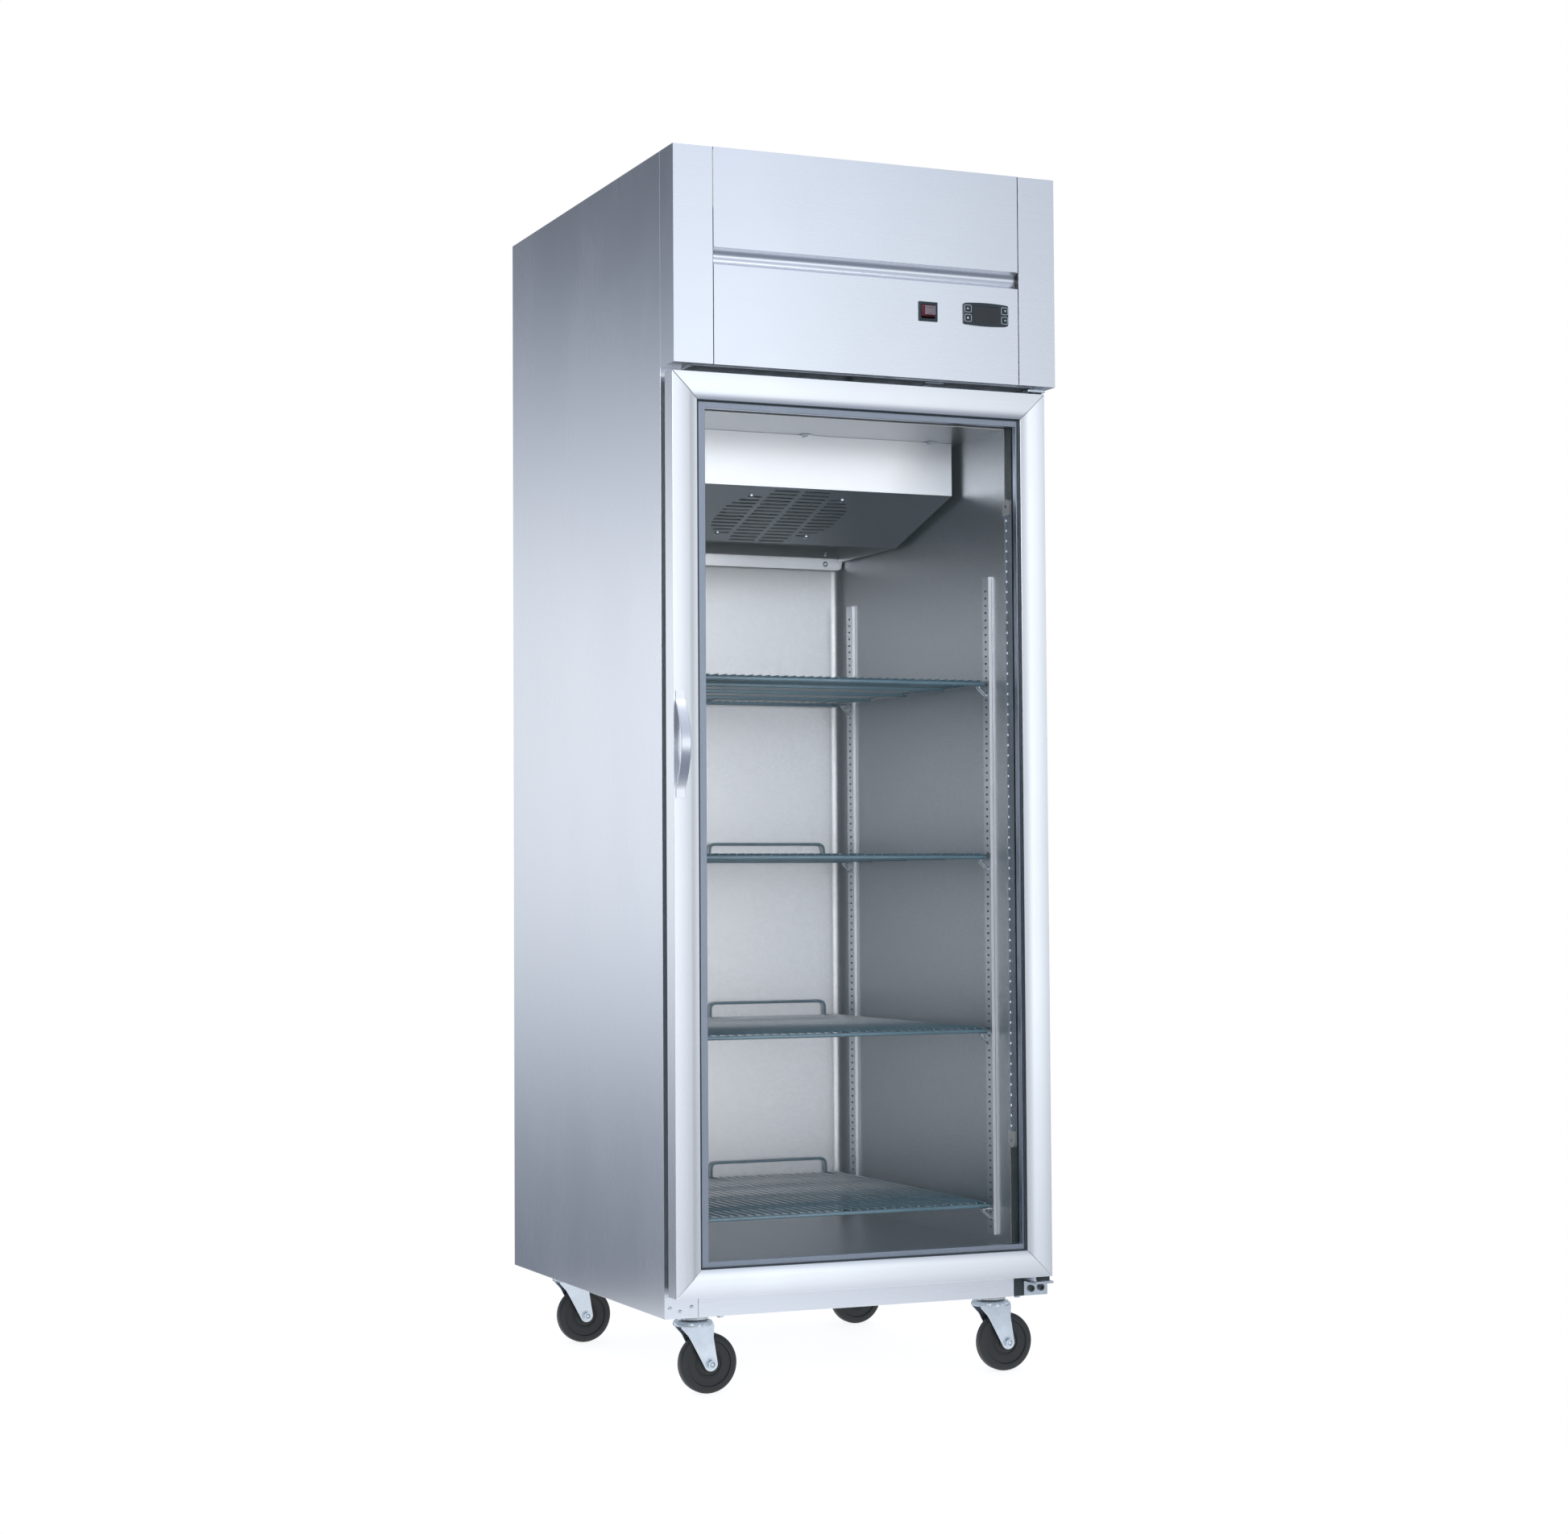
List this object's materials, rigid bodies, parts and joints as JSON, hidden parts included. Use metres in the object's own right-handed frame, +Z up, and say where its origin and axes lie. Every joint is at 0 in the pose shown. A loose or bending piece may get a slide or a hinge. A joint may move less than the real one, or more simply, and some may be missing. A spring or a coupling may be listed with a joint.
{
  "type": "reach-in refrigerator",
  "caption": "Upright glass-door reach-in refrigerator: stainless cabinet, header with lift-up service panel, wire shelves, top-mounted condensing unit, swivel casters.",
  "frame": {"origin": "on the floor under the middle of the whole object's bounding box, handle included", "axes": "+X to the right seen from the front, +Y from the door towards the back, +Z up"},
  "size_m": [0.7, 0.862, 2.045],
  "materials": {
    "stainless": "vertically brushed stainless sheet, satin",
    "liner_steel": "stucco-textured stainless liner, satin",
    "galvanised": "galvanised sheet, faint spangle",
    "aluminium": "bright brushed anodised extrusion",
    "anodised_spacer": "blue-grey anodised, satin",
    "dark_plastic": "dark extruded PVC, satin",
    "black_metal": "black enamel, satin",
    "foam": "rigid polyurethane foam",
    "rubber": "dark elastomer, matt",
    "zinc": "bright zinc plate",
    "white_plastic": "white moulded plastic",
    "lamp_diffuser": "clear bluish diffuser",
    "coated_wire": "blue-grey epoxy coat, semi-gloss",
    "red_plastic": "translucent red rocker",
    "fins": "thin aluminium fins",
    "glass": "clear tempered glass"
  },
  "bodies": {
    "cabinet": {"left_side_panel": "stainless", "right_side_panel": "stainless", "back_panel": "stainless", "bottom_pan": "galvanised", "machine_deck": "galvanised", "front_bottom_rail": "stainless", "corner_plate": "stainless", "foam_insulation": "foam", "inner_liner": "liner_steel", "breaker_frame": "dark_plastic", "header_left_post": "stainless", "header_right_post": "stainless", "upper_hinge_bracket": "zinc", "lower_hinge_bracket": "zinc", "pilaster_front_left": "zinc", "pilaster_front_right": "zinc", "pilaster_rear_left": "zinc", "pilaster_rear_right": "zinc", "lamp_housing": "white_plastic", "lamp_diffuser": "lamp_diffuser", "evaporator_housing": "liner_steel", "evaporator_fan_motor": "black_metal", "evaporator_coil": "fins", "evaporator_rear_rail": "liner_steel", "compressor": "black_metal", "condenser_coil": "fins", "condenser_fan_motor_and_shroud": "black_metal", "control_box": "galvanised"},
    "service_panel": {"service_panel": "stainless", "power_switch_bezel": "dark_plastic", "controller_body": "black_metal"},
    "power_switch_rocker": {"power_switch_rocker": "red_plastic"},
    "door": {"door_frame_left": "aluminium", "door_frame_right": "aluminium", "door_frame_top": "aluminium", "door_frame_bottom": "aluminium", "outer_glass": "glass", "glass_spacer": "anodised_spacer", "inner_glass": "glass", "door_inner_profile": "dark_plastic", "door_gasket": "rubber", "door_handle": "stainless"},
    "evaporator_fan": {"evaporator_fan_blade": "dark_plastic"},
    "condenser_fan": {"condenser_fan_blade": "aluminium"},
    "shelf_1": {"shelf_1": "coated_wire"},
    "controller_button_1": {"controller_button_1": "dark_plastic"},
    "shelf_2": {"shelf_2": "coated_wire"},
    "controller_button_2": {"controller_button_2": "dark_plastic"},
    "shelf_3": {"shelf_3": "coated_wire"},
    "controller_button_3": {"controller_button_3": "dark_plastic"},
    "shelf_4": {"shelf_4": "coated_wire"},
    "controller_button_4": {"controller_button_4": "dark_plastic"},
    "caster_swivel_front_left": {"caster_fork_front_left": "zinc"},
    "caster_wheel_front_left": {"caster_wheel_front_left": "rubber"},
    "caster_swivel_front_right": {"caster_fork_front_right": "zinc"},
    "caster_wheel_front_right": {"caster_wheel_front_right": "rubber"},
    "caster_swivel_rear_left": {"caster_fork_rear_left": "zinc"},
    "caster_wheel_rear_left": {"caster_wheel_rear_left": "rubber"},
    "caster_swivel_rear_right": {"caster_fork_rear_right": "zinc"},
    "caster_wheel_rear_right": {"caster_wheel_rear_right": "rubber"}
  },
  "joints": [
    {"name": "door_hinge", "type": "hinge", "parent": "cabinet", "child": "door", "pos_m": [0.324, -0.385, 0.9], "axis": [0, 0, 1], "range_deg": [0, 110]},
    {"name": "service_panel_lift", "type": "hinge", "parent": "cabinet", "child": "service_panel", "pos_m": [0, -0.404, 2.038], "axis": [-1, 0, 0], "range_deg": [0, 75]},
    {"name": "power_switch_rock", "type": "hinge", "parent": "service_panel", "child": "power_switch_rocker", "pos_m": [0.1085, -0.405, 1.8005], "axis": [1, 0, 0], "range_deg": [0, 14]},
    {"name": "evaporator_fan_spin", "type": "hinge", "parent": "cabinet", "child": "evaporator_fan", "pos_m": [0, -0.01528, 1.51777], "axis": [0, 0.2798, 0.96], "continuous": true},
    {"name": "condenser_fan_spin", "type": "hinge", "parent": "cabinet", "child": "condenser_fan", "pos_m": [-0.07, -0.2027, 1.84], "axis": [0, 1, 0], "continuous": true},
    {"name": "shelf_1_lift", "type": "slide", "parent": "cabinet", "child": "shelf_1", "axis": [0, 0, 1], "range_m": [0, 0.2]},
    {"name": "shelf_2_lift", "type": "slide", "parent": "cabinet", "child": "shelf_2", "axis": [0, 0, 1], "range_m": [0, 0.2]},
    {"name": "shelf_3_lift", "type": "slide", "parent": "cabinet", "child": "shelf_3", "axis": [0, 0, 1], "range_m": [0, 0.2]},
    {"name": "shelf_4_lift", "type": "slide", "parent": "cabinet", "child": "shelf_4", "axis": [0, 0, 1], "range_m": [0, 0.2]},
    {"name": "controller_button_1_press", "type": "slide", "parent": "service_panel", "child": "controller_button_1", "axis": [0, 1, 0], "range_m": [0, 0.0006], "stiffness_N_per_m": 800},
    {"name": "controller_button_2_press", "type": "slide", "parent": "service_panel", "child": "controller_button_2", "axis": [0, 1, 0], "range_m": [0, 0.0006], "stiffness_N_per_m": 800},
    {"name": "controller_button_3_press", "type": "slide", "parent": "service_panel", "child": "controller_button_3", "axis": [0, 1, 0], "range_m": [0, 0.0006], "stiffness_N_per_m": 800},
    {"name": "controller_button_4_press", "type": "slide", "parent": "service_panel", "child": "controller_button_4", "axis": [0, 1, 0], "range_m": [0, 0.0006], "stiffness_N_per_m": 800},
    {"name": "caster_swivel_front_left_turn", "type": "hinge", "parent": "cabinet", "child": "caster_swivel_front_left", "pos_m": [-0.275, -0.284, 0.121], "axis": [0, 0, 1], "continuous": true},
    {"name": "caster_wheel_front_left_roll", "type": "hinge", "parent": "caster_swivel_front_left", "child": "caster_wheel_front_left", "pos_m": [-0.25, -0.284, 0.05], "axis": [0, 1, 0], "continuous": true},
    {"name": "caster_swivel_front_right_turn", "type": "hinge", "parent": "cabinet", "child": "caster_swivel_front_right", "pos_m": [0.275, -0.284, 0.121], "axis": [0, 0, 1], "continuous": true},
    {"name": "caster_wheel_front_right_roll", "type": "hinge", "parent": "caster_swivel_front_right", "child": "caster_wheel_front_right", "pos_m": [0.3, -0.284, 0.05], "axis": [0, 1, 0], "continuous": true},
    {"name": "caster_swivel_rear_left_turn", "type": "hinge", "parent": "cabinet", "child": "caster_swivel_rear_left", "pos_m": [-0.275, 0.331, 0.121], "axis": [0, 0, 1], "continuous": true},
    {"name": "caster_wheel_rear_left_roll", "type": "hinge", "parent": "caster_swivel_rear_left", "child": "caster_wheel_rear_left", "pos_m": [-0.25, 0.331, 0.05], "axis": [0, 1, 0], "continuous": true},
    {"name": "caster_swivel_rear_right_turn", "type": "hinge", "parent": "cabinet", "child": "caster_swivel_rear_right", "pos_m": [0.275, 0.331, 0.121], "axis": [0, 0, 1], "continuous": true},
    {"name": "caster_wheel_rear_right_roll", "type": "hinge", "parent": "caster_swivel_rear_right", "child": "caster_wheel_rear_right", "pos_m": [0.3, 0.331, 0.05], "axis": [0, 1, 0], "continuous": true}
  ]
}
